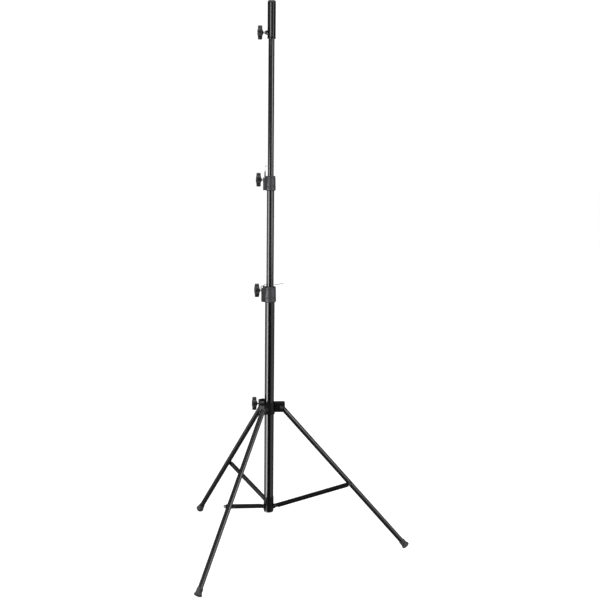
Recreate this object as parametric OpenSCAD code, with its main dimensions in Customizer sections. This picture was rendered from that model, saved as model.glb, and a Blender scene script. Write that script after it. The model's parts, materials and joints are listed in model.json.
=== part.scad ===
// Telescopic stand: three-leg folding base, two telescoping sections and a 35 mm pole adapter.
// Millimetres, +Z up. The origin is the point on the floor under the column's axis.
// Leg c points along +X, leg a is 120 degrees further round, leg b 240 degrees.

/* [Column] */
// Height of the column's bottom end above the floor
ground_gap = 181; // [160:1:220]
// Length of the base tube
base_tube_len = 1025; // [850:5:1240]
// Outer diameter of the base tube
base_tube_od = 42; // [34:0.5:44]
// Length of the middle tube
mid_tube_len = 960; // [800:5:1000]
// Gap between the base tube's bore and the middle tube
mid_gap = 3.4; // [2.5:0.1:4]
// Length of the top tube
top_tube_len = 1031; // [900:5:1050]
// Gap between the middle tube's bore and the top tube
top_gap = 1.4; // [1.2:0.1:3]
// Wall thickness of the three column tubes
tube_wall = 1.6; // [1.2:0.1:2]
// Height of the middle tube that shows between the two collars
mid_shown = 423; // [300:1:600]
// Height of the top tube that shows between the upper collar and the adapter
top_shown = 585; // [560:1:720]

/* [Collars] */
// Height of the lower collar
lower_collar_h = 69; // [60:1:85]
// Height of the upper collar
upper_collar_h = 63; // [55:1:80]
// Thickness of a collar's ring round its tube
collar_wall = 6; // [4:0.5:8]
// How far a collar's clamp block stands out from its tube
block_reach = 17; // [15:0.5:22]
// Width of a collar's clamp block
block_w = 25; // [22:0.5:30]
// Thickness of the rim that a collar closes over its bush
collar_lip = 3; // [2:0.5:4]
// Height of a bush inside the end of its tube
bush_h = 25; // [18:1:35]
// Thickness of a bush's flange
bush_flange = 3; // [2:0.5:4]
// Turn of the lower collar about the column
lower_turn = 3; // [-20:1:20]
// Turn of the upper collar about the column
upper_turn = -4; // [-20:1:20]
// Height of a guide ring at the bottom of an inner tube
guide_h = 40; // [25:1:60]

/* [Adapter] */
// Outer diameter of the adapter, the size of a 35 mm pole
adapter_od = 35; // [35:0.1:38]
// Length of the adapter's tube
adapter_len = 152; // [130:1:180]
// Wall thickness of the adapter
adapter_wall = 2; // [1.5:0.1:2.5]
// How far the adapter's threaded boss stands out from its tube
adapter_boss_out = 12; // [9:0.5:16]
// Height of the boss above the adapter's lower end
adapter_boss_z = 26; // [22:1:40]

/* [Base] */
// Outer diameter of a leg tube
leg_od = 22; // [18:0.5:27]
// Wall thickness of a leg tube
leg_wall = 1.5; // [1.2:0.1:2]
// Length of a leg from its pivot to the end of its foot
leg_len = 877; // [820:1:1060]
// Height of the leg pivots above the floor when the base is open
leg_pivot_z = 671; // [640:1:720]
// Distance of the leg pivots from the base tube's surface
leg_pivot_out = 34; // [31:0.5:42]
// Distance along a leg from its pivot to the brace rivet
brace_joint = 475; // [430:1:520]
// Distance of the brace pivots from the base tube's surface
brace_pivot_out = 9; // [8:0.5:13]
// Height of the brace pivots above the column's bottom end
brace_pivot_rise = 33; // [30:1:45]
// Height of a brace's channel section
brace_h = 18; // [14:0.5:20]
// Depth of a brace's channel section
brace_depth = 11; // [8:0.5:12]
// Sheet thickness of a brace
brace_wall = 1.8; // [1.5:0.1:2.5]
// Radius of a foot at its end
foot_r = 17.5; // [16:0.5:20]
// Length of a foot
foot_len = 33; // [28:1:40]
// Depth of the flat worn into the edge of a foot where it stands
foot_flat = 1.5; // [1:0.1:2.5]

/* [Hub] */
// Height of the hub's sleeve
hub_h = 55; // [48:1:65]
// Height of the hub's top face above the leg pivots
hub_rise = 23; // [22:1:32]
// Wall thickness of the hub's sleeve
hub_wall = 2.5; // [2:0.5:4]
// Thickness of the hub's bush
hub_bush_t = 1.4; // [1:0.1:2]
// Height of a hub arm
arm_h = 44; // [40:1:50]
// Length of a hub arm past its leg pivot
arm_end = 15; // [14:0.5:20]
// Thickness of a hub arm's walls
arm_wall = 3; // [2:0.5:4]
// How far the hub's threaded boss stands out from the base tube
hub_boss_out = 26; // [21:1:34]

/* [Knobs] */
// Diameter of a clamping knob across its lobes
knob_d = 60; // [50:1:70]
// Number of lobes on a knob
knob_lobes = 6; // [5:1:8]
// Thickness of a knob's lobes
knob_t = 19; // [14:0.5:20]
// Length of the cone behind a knob's lobes
knob_cone = 4.5; // [4:0.5:8]
// Diameter of the threaded studs
stud_d = 8; // [6:0.5:8.5]
// Bare thread between a knob and the boss that it screws into
stud_shown = 5.5; // [3:0.5:10]

/* [Safety clips] */
// Diameter of the clips' spring wire
wire_d = 3; // [2.5:0.1:3.5]
// Height of the upper clip above its collar
upper_clip_rise = 43; // [35:1:50]
// Height of the lower clip above its collar
lower_clip_rise = 8; // [7:0.5:12]
// How far the lower clip's waved end stands out from the column axis
clip_reach = 61; // [50:1:65]

/* [Hidden] */
$fn = 96;
running = 0.05;   // radial clearance of a running fit
clear = 0.3;      // gap between pieces that only pass each other
side_gap = 0.4;   // gap between a leg and the brace beside it
eps = 0.01;

base_r = base_tube_od / 2;
mid_r = base_r - tube_wall - mid_gap;
top_r = mid_r - tube_wall - top_gap;
adapter_r = adapter_od / 2;
leg_r = leg_od / 2;
leg_pivot_r = base_r + leg_pivot_out;
brace_pivot_r = base_r + brace_pivot_out;
arm_reach = leg_pivot_r + arm_end;
hub_boss_reach = base_r + hub_boss_out;
adapter_boss_reach = adapter_r + adapter_boss_out;
stud_r = stud_d / 2;
wire_r = wire_d / 2;

plug_flange = 4;
base_tube_z = ground_gap + plug_flange;
base_tube_top = base_tube_z + base_tube_len;
rim_rise = bush_flange + collar_lip;
lower_collar_top = base_tube_top + rim_rise;
upper_collar_z = lower_collar_top + mid_shown;
upper_collar_top = upper_collar_z + upper_collar_h;
mid_tube_top = upper_collar_top - rim_rise;
adapter_z = upper_collar_top + top_shown;
adapter_top = adapter_z + adapter_len;
cap_plug = 12;
shoulder_z = adapter_boss_z + 14;   // from the adapter's lower end up to the stop for what it carries
top_tube_top = adapter_top - cap_plug - 2;
knob_drop = 16;   // from a collar's top down to its knob's axis
adapter_knob_z = adapter_z + adapter_boss_z;
hub_top = leg_pivot_z + hub_rise;
hub_knob_z = hub_top - 7;
hub_bore_r = base_r + running + hub_bush_t;
hub_r = hub_bore_r + hub_wall;
brace_pivot_z = ground_gap + brace_pivot_rise;

// The open base: a leg leans until the flat on its foot's edge stands on the floor
leg_angle = acos((leg_pivot_z + foot_flat) / norm([leg_len, foot_r])) + atan(foot_r / leg_len);
joint_r = leg_pivot_r + brace_joint * sin(leg_angle);
joint_z = leg_pivot_z - brace_joint * cos(leg_angle);
brace_len = norm([joint_r - brace_pivot_r, joint_z - brace_pivot_z]);
brace_angle = atan2(joint_z - brace_pivot_z, joint_r - brace_pivot_r);
web_t = leg_r + side_gap;   // tangential distance of a brace's web from the leg's own plane
ear_wall = 3;
rivet_r = 3;
rivet_head_r = 5.5;
rivet_head_h = 2;
cap_nut_r = 7.5;  // the domed nut on the outer end of each brace's rivet
cap_nut_h = 12;
bolt_r = 4;
arm_gap = leg_r + 1;        // half the width inside a hub arm

insert_r = 7;
pad_r = 4.4;
adapter_liner_r = adapter_r - adapter_wall;
tether_r = 6.5;
tether_wire = 3;
eye_drop = 9;    // from the lower collar's top down to the foot of the lower clip's eye
eye_rise = 2.5;  // the eye's top above the collar, below the bend of the clip
socket_r = wire_r + 1.6;
socket_h = 20;
clip_x = top_r + 12;
clip_y = top_r + wire_r + 2.5;
lower_clip_y = mid_r + wire_r + 1.5;
wave_start = 25;
wave_len = 35;
wave_height = 2.8;

// ---- Helpers ----

// A ring from z0 to z1
module ring(r_out, r_in, z0, z1) {
    translate([0, 0, z0]) difference() {
        cylinder(r = r_out, h = z1 - z0);
        translate([0, 0, -1]) cylinder(r = r_in, h = z1 - z0 + 2);
    }
}

// A cylinder from radius r0 to r1 on the side that a knob is on, at height z
module spoke(turn, z, r0, r1, r) {
    rotate([0, 0, turn]) translate([-r0, 0, z]) rotate([0, -90, 0]) cylinder(r = r, h = r1 - r0);
}

// Places a child whose +Z runs outward along a knob's axis, starting at reach from the column
module on_knob_axis(turn, z, reach) {
    rotate([0, 0, turn]) translate([-reach, 0, z]) rotate([0, -90, 0]) children();
}

// Places a child whose +Z runs down a leg from its pivot, with +Y across the leg
module on_leg(azimuth) {
    rotate([0, 0, azimuth]) translate([leg_pivot_r, 0, leg_pivot_z])
        rotate([0, 180 - leg_angle, 0]) children();
}

// Places a child whose +Z runs out along a brace from its pivot, with +Y across the brace
module on_brace(azimuth) {
    rotate([0, 0, azimuth]) translate([brace_pivot_r, 0, brace_pivot_z])
        rotate([0, 90 - brace_angle, 0]) children();
}

// A cylinder along +Y from y0 to y1, centred at x, z
module cross(y0, y1, r, x = 0, z = 0) {
    translate([x, y1, z]) rotate([90, 0, 0]) cylinder(r = r, h = y1 - y0);
}

// ---- Column ----

module base_tube() color([0.05, 0.05, 0.055]) difference() {
    ring(base_r, base_r - tube_wall, base_tube_z, base_tube_top);
    spoke(lower_turn, lower_collar_top - knob_drop, mid_r, base_r + 2, pad_r);
}

module base_plug() color([0.06, 0.06, 0.06]) {
    translate([0, 0, ground_gap]) cylinder(r1 = base_r - 3, r2 = base_r, h = plug_flange);
    ring(base_r - tube_wall, base_r - tube_wall - 3, base_tube_z - eps, base_tube_z + 20);
}

// A sleeve round the foot of the base tube with an ear for each brace
module base_bracket() color([0.06, 0.06, 0.06]) {
    ear_z = brace_pivot_z;
    ear_y = -web_t + side_gap;
    difference() {
        union() {
            ring(base_r + 1.5, base_r, ground_gap + 9, ground_gap + 72);
            for (azimuth = [0, 120, 240]) rotate([0, 0, azimuth]) {
                cross(ear_y, ear_y + ear_wall, brace_h / 2 - 1, brace_pivot_r, ear_z);
                translate([base_r - 6, ear_y, ear_z - 14])
                    cube([brace_pivot_r - base_r + 6, ear_wall, 28 - 6]);
            }
        }
        translate([0, 0, ground_gap]) cylinder(r = base_r, h = 100);
        for (azimuth = [0, 120, 240]) rotate([0, 0, azimuth])
            cross(ear_y - 1, ear_y + ear_wall + 1, rivet_r, brace_pivot_r, ear_z);
    }
}

// The three pins that the braces turn on, held in the ears
module brace_pins() color([0.12, 0.12, 0.12]) for (azimuth = [0, 120, 240])
    rotate([0, 0, azimuth]) {
        web_out = -web_t - brace_wall;
        ear_in = -web_t + side_gap + ear_wall;
        cross(web_out - clear - rivet_head_h, ear_in + rivet_head_h, rivet_r,
            brace_pivot_r, brace_pivot_z);
        cross(ear_in, ear_in + rivet_head_h, rivet_head_r, brace_pivot_r, brace_pivot_z);
        cross(web_out - clear - rivet_head_h, web_out - clear, rivet_head_r,
            brace_pivot_r, brace_pivot_z);
    }

// ---- Collars ----

// The clamp block on a collar's side, in the plane of its knob
module clamp_block(tube_r, top, h) {
    reach = tube_r + block_reach;
    translate([-reach, block_w / 2, top - h]) rotate([90, 0, 0]) linear_extrude(block_w)
        polygon([[0, 5], [3, 2], [reach - tube_r / 2, 2], [reach - tube_r / 2, h - 1],
            [7, h - 1], [0, h - 8]]);
}
// A moulded collar: a ring round a tube with a clamp block on one side.
// tube_r is the tube that it is fixed to, inner_r the tube that slides in it.
module collar(tube_r, inner_r, top, h, turn) {
    ring_r = tube_r + collar_wall;
    reach = tube_r + block_reach;
    difference() {
        union() {
            translate([0, 0, top - h + 4]) cylinder(r = ring_r, h = h - 8);
            translate([0, 0, top - h]) cylinder(r1 = ring_r - 3, r2 = ring_r, h = 4);
            translate([0, 0, top - 4]) cylinder(r1 = ring_r, r2 = ring_r - 2, h = 4);
            rotate([0, 0, turn]) clamp_block(tube_r, top, h);
        }
        translate([0, 0, top - h - 1]) cylinder(r = tube_r, h = h + 1 - collar_lip);
        translate([0, 0, top - h - 1]) cylinder(r = inner_r + 1, h = h + 2);
        spoke(turn, top - knob_drop, 0, reach + 1, insert_r);
    }
}

// A bush: a liner inside the end of a tube with a flange on the tube's end
module bush(tube_r, inner_r, tube_top, turn, knob_z) {
    difference() {
        union() {
            ring(tube_r - tube_wall, inner_r + running, tube_top - bush_h, tube_top + eps);
            ring(tube_r, inner_r + running, tube_top, tube_top + bush_flange);
        }
        spoke(turn, knob_z, 0, tube_r + 2, pad_r);
    }
}

// A threaded insert in a collar's block
module insert(tube_r, turn, z) {
    difference() {
        spoke(turn, z, tube_r + 1, tube_r + block_reach, insert_r);
        spoke(turn, z, tube_r, tube_r + block_reach + 1, stud_r + running);
    }
}

// A pressure pad between a stud's tip and the tube that it clamps
module pad(turn, z, r0, r1) {
    spoke(turn, z, r0 + clear, r1, pad_r - running);
}

module lower_collar() color([0.1, 0.1, 0.11])
    collar(base_r, mid_r, lower_collar_top, lower_collar_h, lower_turn);
module lower_bush() color([0.08, 0.08, 0.08])
    bush(base_r, mid_r, base_tube_top, lower_turn, lower_collar_top - knob_drop);
module lower_insert() color([0.72, 0.6, 0.32])
    insert(base_r, lower_turn, lower_collar_top - knob_drop);
module lower_pad() color([0.72, 0.6, 0.32])
    pad(lower_turn, lower_collar_top - knob_drop, mid_r, base_r + 0.5);

// A loop out of the lower collar's block, and the eye that the lower clip turns in
module lower_tether() color([0.05, 0.05, 0.05]) rotate([0, 0, lower_turn]) {
    ring_r = base_r + collar_wall;
    difference() {
        translate([-base_r - block_reach + 4.5, 0, lower_collar_top - 3]) rotate([90, 0, 0])
            rotate_extrude() translate([tether_r, 0]) circle(r = tether_wire / 2, $fn = 24);
        clamp_block(base_r, lower_collar_top, lower_collar_h);
        translate([0, 0, lower_collar_top - lower_collar_h]) cylinder(r = ring_r, h = lower_collar_h);
    }
    difference() {
        union() {
            translate([-clip_x, lower_clip_y, lower_collar_top - eye_drop])
                cylinder(r = socket_r, h = eye_drop + eye_rise);
            translate([-clip_x - socket_r, block_w / 2, lower_collar_top - eye_drop])
                cube([2 * socket_r, lower_clip_y - block_w / 2, 5]);
        }
        translate([0, 0, lower_collar_top - lower_collar_h]) cylinder(r = ring_r, h = lower_collar_h);
        translate([-clip_x, lower_clip_y, lower_collar_top - 3])
            cylinder(r = wire_r + running, h = 8);
    }
}

module upper_collar() color([0.1, 0.1, 0.11])
    collar(mid_r, top_r, upper_collar_top, upper_collar_h, upper_turn);
module upper_bush() color([0.08, 0.08, 0.08])
    bush(mid_r, top_r, mid_tube_top, upper_turn, upper_collar_top - knob_drop);
module upper_insert() color([0.72, 0.6, 0.32])
    insert(mid_r, upper_turn, upper_collar_top - knob_drop);
module upper_pad() color([0.72, 0.6, 0.32])
    pad(upper_turn, upper_collar_top - knob_drop, top_r, mid_r + 0.5);

// ---- Telescoping tubes ----

module mid_tube() color([0.05, 0.05, 0.055]) difference() {
    ring(mid_r, mid_r - tube_wall, mid_tube_top - mid_tube_len, mid_tube_top);
    spoke(upper_turn, upper_collar_top - knob_drop, top_r, mid_r + 2, pad_r);
}
module mid_guide() color([0.08, 0.08, 0.08]) ring(base_r - tube_wall - running, mid_r,
    mid_tube_top - mid_tube_len, mid_tube_top - mid_tube_len + guide_h);
module top_tube() color([0.05, 0.05, 0.055])
    ring(top_r, top_r - tube_wall, top_tube_top - top_tube_len, top_tube_top);
module top_guide() color([0.08, 0.08, 0.08]) ring(mid_r - tube_wall - running, top_r,
    top_tube_top - top_tube_len, top_tube_top - top_tube_len + guide_h);

// ---- Adapter ----

module adapter_tube() color([0.05, 0.05, 0.055]) difference() {
    union() {
        translate([0, 0, adapter_z]) cylinder(r = adapter_r, h = adapter_len);
        translate([0, 0, adapter_z]) cylinder(r = adapter_r + 0.5, h = shoulder_z - 0.5);
        translate([0, 0, adapter_z + shoulder_z - 0.5]) cylinder(r1 = adapter_r + 0.5, r2 = adapter_r, h = 0.5);
        translate([0, 0, adapter_z]) cylinder(r = adapter_r + 1.2, h = 4);
        translate([0, 0, adapter_z + 4]) cylinder(r1 = adapter_r + 1.2, r2 = adapter_r + 0.5, h = 3);
        on_knob_axis(upper_turn, adapter_knob_z, adapter_r - 3)
            cylinder(r1 = 11, r2 = 6.8, h = adapter_boss_reach - adapter_r + 3);
    }
    translate([0, 0, adapter_z - 1]) cylinder(r = adapter_liner_r, h = adapter_len + 2);
    spoke(upper_turn, adapter_knob_z, top_r, adapter_boss_reach + 1, stud_r + running);
}
module adapter_liner() color([0.08, 0.08, 0.08]) difference() {
    ring(adapter_liner_r, top_r + running, adapter_z + 5, adapter_z + 75);
    spoke(upper_turn, adapter_knob_z, 0, adapter_r, stud_r + running);
}
module adapter_cap() color([0.03, 0.03, 0.03]) {
    translate([0, 0, adapter_top]) cylinder(r = adapter_r - 0.3, h = 6);
    translate([0, 0, adapter_top + 6]) cylinder(r1 = adapter_r - 1, r2 = adapter_r - 7, h = 4);
    ring(adapter_liner_r, adapter_liner_r - 2.5, adapter_top - cap_plug, adapter_top + eps);
}

// ---- Hub ----

// One inverted channel arm of the hub, along +X
module arm_outer() {
    translate([hub_bore_r - 1, -arm_gap - arm_wall, hub_top - arm_h])
        cube([arm_reach - hub_bore_r + 1, 2 * (arm_gap + arm_wall), arm_h]);
}
module arm_inner() {
    translate([hub_r + 1, -arm_gap, hub_top - arm_h - 1])
        cube([arm_reach - arm_wall - hub_r - 1, 2 * arm_gap, arm_h + 1 - arm_wall]);
    translate([arm_reach - arm_wall - 1, -arm_gap, hub_top - arm_h - 1])
        cube([arm_wall + 2, 2 * arm_gap, arm_h - 15]);
}

module hub_body() color([0.05, 0.05, 0.05]) difference() {
    union() {
        translate([0, 0, hub_top - hub_h]) cylinder(r = hub_r, h = hub_h);
        for (azimuth = [0, 120, 240]) rotate([0, 0, azimuth]) arm_outer();
    }
    for (azimuth = [0, 120, 240]) rotate([0, 0, azimuth]) {
        arm_inner();
        cross(-arm_gap - arm_wall - 1, arm_gap + arm_wall + 1, bolt_r, leg_pivot_r, leg_pivot_z);
    }
    translate([0, 0, hub_top - hub_h - 1]) cylinder(r = hub_bore_r, h = hub_h + 2);
    spoke(0, hub_knob_z, base_r, hub_r + 3, pad_r);
}
module hub_bush() color([0.08, 0.08, 0.08]) difference() {
    ring(hub_bore_r, base_r + running, hub_top - hub_h, hub_top);
    spoke(0, hub_knob_z, base_r - 1, hub_r, pad_r);
}
// The threaded boss that the hub's knob screws into, shaped to the hub's sleeve
module hub_boss() color([0.35, 0.35, 0.36]) difference() {
    spoke(0, hub_knob_z, hub_r - 4, hub_boss_reach, 9.5);
    translate([0, 0, hub_top - hub_h - 1]) cylinder(r = hub_r, h = hub_h + 12);
    spoke(0, hub_knob_z, hub_r - 5, hub_boss_reach + 1, stud_r + running);
}
module hub_pad() color([0.72, 0.6, 0.32]) pad(0, hub_knob_z, base_r, hub_r - 1);

// Pivot bolts with a hexagon head on one side and a nut on the other
module hub_bolts() color([0.08, 0.08, 0.08]) for (azimuth = [0, 120, 240])
    rotate([0, 0, azimuth]) translate([leg_pivot_r, 0, leg_pivot_z]) {
        face = arm_gap + arm_wall;
        cross(-face - 6, face + 5, bolt_r);
        cross(face, face + 5, 7, $fn = 6);
        cross(-face - 6, -face, 7, $fn = 6);
    }

// ---- Legs ----

module leg_tube(azimuth) color([0.07, 0.07, 0.07]) on_leg(azimuth) difference() {
    ring(leg_r, leg_r - leg_wall, 4, leg_len - 6);
    cross(-leg_r - 1, leg_r + 1, leg_r);
    cross(-leg_r - 1, leg_r + 1, rivet_r, 0, brace_joint);
}
module leg_eye(azimuth) color([0.06, 0.06, 0.06]) on_leg(azimuth) difference() {
    union() {
        cross(-leg_r, leg_r, leg_r);
        cylinder(r = leg_r - leg_wall, h = 40);
    }
    cross(-leg_r - 1, leg_r + 1, bolt_r + running);
}
// A flared rubber foot with a flat where its edge stands on the floor
module foot(azimuth) color([0.04, 0.04, 0.04]) difference() {
    on_leg(azimuth) rotate_extrude() polygon([
        [leg_r, leg_len - foot_len], [leg_r + 2.6, leg_len - foot_len],
        [leg_r + 3, leg_len - foot_len + 3], [foot_r - 2.5, leg_len - 9],
        [foot_r, leg_len - 6], [foot_r, leg_len], [foot_r - 7, leg_len + 2],
        [0, leg_len + 3], [0, leg_len - 6], [leg_r, leg_len - 6]]);
    translate([-leg_len, -leg_len, -50]) cube([2 * leg_len, 2 * leg_len, 50]);
}
// The leg's half of the rivet between leg and brace
module leg_rivet(azimuth) color([0.12, 0.12, 0.12]) on_leg(azimuth) {
    cross(-leg_r, leg_r + rivet_head_h, rivet_r, 0, brace_joint);
    difference() {
        cross(leg_r - 2, leg_r + rivet_head_h, rivet_head_r, 0, brace_joint);
        translate([0, 0, brace_joint - 20]) cylinder(r = leg_r, h = 40);
    }
}

// ---- Braces ----

// A channel-section brace whose web lies beside the leg, with its open side outward
module brace(azimuth) color([0.08, 0.08, 0.08]) on_brace(azimuth) difference() {
    half = brace_h / 2;
    union() {
        translate([0, -web_t, 0]) rotate([90, 0, 0]) linear_extrude(brace_wall) {
            translate([-half, 0]) square([brace_h, brace_len]);
            circle(r = half);
            translate([0, brace_len]) circle(r = half);
        }
        for (side = [-1, 1]) translate([side * (half - brace_wall / 2), -web_t - brace_depth / 2,
            brace_len / 2])
            cube([brace_wall, brace_depth, brace_len - 2 * half], center = true);
    }
    cross(-web_t - brace_wall - 1, -web_t + 1, rivet_r + running);
    cross(-web_t - brace_wall - 1, -web_t + 1, rivet_r, 0, brace_len);
}
// The brace's half of the rivet between leg and brace, ending in a domed nut
module brace_rivet(azimuth) color([0.12, 0.12, 0.12]) on_brace(azimuth) {
    out = -web_t - brace_wall;
    cross(out - eps, -web_t, rivet_r, 0, brace_len);
    cross(out - cap_nut_h + 3, out, cap_nut_r, 0, brace_len);
    cross(out - cap_nut_h, out - cap_nut_h + 3 + eps, cap_nut_r - 2, 0, brace_len);
}

// ---- Knobs ----

// Outline of a lobed knob
module knob_outline() {
    lobe = knob_d * 0.15;
    circle(r = knob_d / 2 - lobe);
    for (i = [0 : knob_lobes - 1]) rotate(i * 360 / knob_lobes)
        translate([knob_d / 2 - lobe, 0]) circle(r = lobe);
}
module knob_head(turn, z, reach) color([0.05, 0.05, 0.05])
    on_knob_axis(turn, z, reach + stud_shown) difference() {
        union() {
            cylinder(r1 = stud_r + 2.5, r2 = 12, h = knob_cone + eps);
            translate([0, 0, knob_cone]) linear_extrude(knob_t) knob_outline();
        }
        translate([0, 0, -1]) cylinder(r = stud_r, h = knob_cone + 11);
        translate([0, 0, knob_cone + knob_t - 2]) cylinder(r = knob_d / 4, h = 3);
    }
module knob_stud(turn, z, reach, tip) color([0.75, 0.75, 0.76])
    on_knob_axis(turn, z, tip + clear)
        cylinder(r = stud_r, h = reach + stud_shown + knob_cone + 10 - tip - clear);
module knob_cap(turn, z, reach) color([0.1, 0.1, 0.1])
    on_knob_axis(turn, z, reach + stud_shown + knob_cone + knob_t - 2) {
        cylinder(r = knob_d / 4, h = 2.5);
        translate([0, 0, 2.5]) cylinder(r1 = knob_d / 4 - 1, r2 = knob_d / 4 - 4, h = 1.5);
    }

lower_reach = base_r + block_reach;
upper_reach = mid_r + block_reach;
lower_knob_z = lower_collar_top - knob_drop;
upper_knob_z = upper_collar_top - knob_drop;

// ---- Safety clips ----

// The upper clip stands in this socket on its collar
module upper_socket() color([0.05, 0.05, 0.05]) rotate([0, 0, upper_turn]) difference() {
    union() {
        translate([-clip_x, clip_y, upper_collar_top - 12]) cylinder(r = socket_r, h = socket_h + 12);
        translate([-clip_x - socket_r, block_w / 2, upper_collar_top - 12])
            cube([2 * socket_r, clip_y - block_w / 2, 8]);
    }
    translate([-clip_x, clip_y, upper_collar_top - 2])
        cylinder(r = wire_r + running, h = socket_h + 5);
}
// A bent wire: up out of the socket and across behind the tube
module upper_clip() color([0.75, 0.75, 0.76]) rotate([0, 0, upper_turn]) {
    bend = 5;
    z = upper_collar_top + upper_clip_rise;
    translate([-clip_x, clip_y, upper_collar_top - 1.5])
        cylinder(r = wire_r, h = upper_clip_rise + 1.5 - bend);
    translate([-clip_x + bend, clip_y, z - bend]) rotate([90, 0, 0]) rotate([0, 0, 90])
        rotate_extrude(angle = 90) translate([bend, 0]) circle(r = wire_r, $fn = 24);
    translate([-clip_x + bend - eps, clip_y, z]) rotate([0, 90, 0]) cylinder(r = wire_r, h = 32);
}
// A spring wire that turns in its eye, runs behind the tube and ends in a wave.
// Its path lies in an upright plane and is a list of [x, z] points.
function clip_path() = let (z = lower_collar_top + lower_clip_rise, bend = 5) concat(
    [[-clip_x, lower_collar_top - 2.5], [-clip_x, z - bend]],
    [for (a = [15 : 15 : 90]) [-clip_x + bend * (1 - cos(a)), z - bend * (1 - sin(a))]],
    [[0, z]],
    [for (x = [wave_start : (clip_reach - wave_start) / 20 : clip_reach])
        [x, z - wave_height * sin(360 * (x - wave_start) / wave_len)]]);
function unit(v) = v / norm(v);
// A round wire along a path of [x, z] points in the plane y = 0
module bent_wire(path, r, sides = 12) {
    n = len(path);
    rings = [for (i = [0 : n - 1]) let (along = unit(path[min(i + 1, n - 1)] - path[max(i - 1, 0)]))
        for (k = [0 : sides - 1]) let (a = 360 * k / sides)
            [path[i][0] - r * cos(a) * along[1], r * sin(a), path[i][1] + r * cos(a) * along[0]]];
    polyhedron(rings, concat(
        [[for (k = [0 : sides - 1]) k]],
        [for (i = [0 : n - 2]) for (k = [0 : sides - 1]) let (j = (k + 1) % sides)
            [i * sides + k, (i + 1) * sides + k, (i + 1) * sides + j, i * sides + j]],
        [[for (k = [sides - 1 : -1 : 0]) (n - 1) * sides + k]]));
}
module lower_clip() color([0.75, 0.75, 0.76]) rotate([0, 0, lower_turn])
    translate([0, lower_clip_y, 0]) bent_wire(clip_path(), wire_r);

base_tube();
base_plug();
base_bracket();
brace_pins();
lower_collar();
lower_bush();
lower_insert();
lower_pad();
lower_tether();
hub_body();
hub_bush();
hub_boss();
hub_pad();
hub_bolts();
leg_tube(120);  // leg_tube_a
leg_tube(240);  // leg_tube_b
leg_tube(0);  // leg_tube_c
leg_eye(120);  // leg_eye_a
leg_eye(240);  // leg_eye_b
leg_eye(0);  // leg_eye_c
foot(120);  // foot_a
foot(240);  // foot_b
foot(0);  // foot_c
leg_rivet(120);  // leg_rivet_a
leg_rivet(240);  // leg_rivet_b
leg_rivet(0);  // leg_rivet_c
brace(120);  // brace_a
brace(240);  // brace_b
brace(0);  // brace_c
brace_rivet(120);  // brace_rivet_a
brace_rivet(240);  // brace_rivet_b
brace_rivet(0);  // brace_rivet_c
mid_tube();
mid_guide();
upper_collar();
upper_bush();
upper_insert();
upper_pad();
upper_socket();
top_tube();
top_guide();
adapter_tube();
adapter_liner();
adapter_cap();
knob_head(0, hub_knob_z, hub_boss_reach);  // hub_knob_head
knob_stud(0, hub_knob_z, hub_boss_reach, hub_r - 1);  // hub_knob_stud
knob_cap(0, hub_knob_z, hub_boss_reach);  // hub_knob_cap
knob_head(lower_turn, lower_knob_z, lower_reach);  // lower_knob_head
knob_stud(lower_turn, lower_knob_z, lower_reach, base_r + 0.5);  // lower_knob_stud
knob_cap(lower_turn, lower_knob_z, lower_reach);  // lower_knob_cap
knob_head(upper_turn, upper_knob_z, upper_reach);  // upper_knob_head
knob_stud(upper_turn, upper_knob_z, upper_reach, mid_r + 0.5);  // upper_knob_stud
knob_cap(upper_turn, upper_knob_z, upper_reach);  // upper_knob_cap
knob_head(upper_turn, adapter_knob_z, adapter_boss_reach);  // adapter_knob_head
knob_stud(upper_turn, adapter_knob_z, adapter_boss_reach, top_r);  // adapter_knob_stud
knob_cap(upper_turn, adapter_knob_z, adapter_boss_reach);  // adapter_knob_cap
upper_clip();
lower_clip();
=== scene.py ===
import json
import math
import bmesh
import bpy
from mathutils import Matrix, Vector


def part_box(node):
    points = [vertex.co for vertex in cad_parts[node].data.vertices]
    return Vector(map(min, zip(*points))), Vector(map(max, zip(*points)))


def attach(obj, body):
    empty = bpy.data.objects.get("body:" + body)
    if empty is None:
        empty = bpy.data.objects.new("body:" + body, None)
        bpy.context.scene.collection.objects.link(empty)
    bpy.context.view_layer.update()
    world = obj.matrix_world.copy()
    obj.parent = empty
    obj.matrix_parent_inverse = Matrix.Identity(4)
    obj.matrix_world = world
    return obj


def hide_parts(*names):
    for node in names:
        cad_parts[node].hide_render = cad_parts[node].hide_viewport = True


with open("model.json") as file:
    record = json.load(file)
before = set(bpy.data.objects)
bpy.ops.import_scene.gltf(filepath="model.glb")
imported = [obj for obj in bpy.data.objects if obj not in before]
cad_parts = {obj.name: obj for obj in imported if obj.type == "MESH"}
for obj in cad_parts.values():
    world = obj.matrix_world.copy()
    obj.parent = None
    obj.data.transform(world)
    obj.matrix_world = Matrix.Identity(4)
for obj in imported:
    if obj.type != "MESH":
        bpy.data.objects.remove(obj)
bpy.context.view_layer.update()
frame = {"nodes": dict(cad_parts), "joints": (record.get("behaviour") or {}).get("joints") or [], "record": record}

mm = 0.001


# shader helpers

class Sock:
    # wraps a node socket, so that shader maths reads as Python expressions
    def __init__(self, tree, link):
        self.tree = tree
        self.link = link

    def math(self, operation, *others):
        node = self.tree.nodes.new("ShaderNodeMath")
        node.operation = operation
        for socket, value in zip(node.inputs, (self,) + others):
            plug(self.tree, socket, value)
        return Sock(self.tree, node.outputs[0])

    def __add__(self, other):
        return self.math("ADD", other)

    def __radd__(self, other):
        return self.math("ADD", other)

    def __sub__(self, other):
        return self.math("SUBTRACT", other)

    def __rsub__(self, other):
        return Sock.flip(self, other)

    def __mul__(self, other):
        return self.math("MULTIPLY", other)

    def __rmul__(self, other):
        return self.math("MULTIPLY", other)

    def flip(self, other):
        return (self * -1.0) + other


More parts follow.
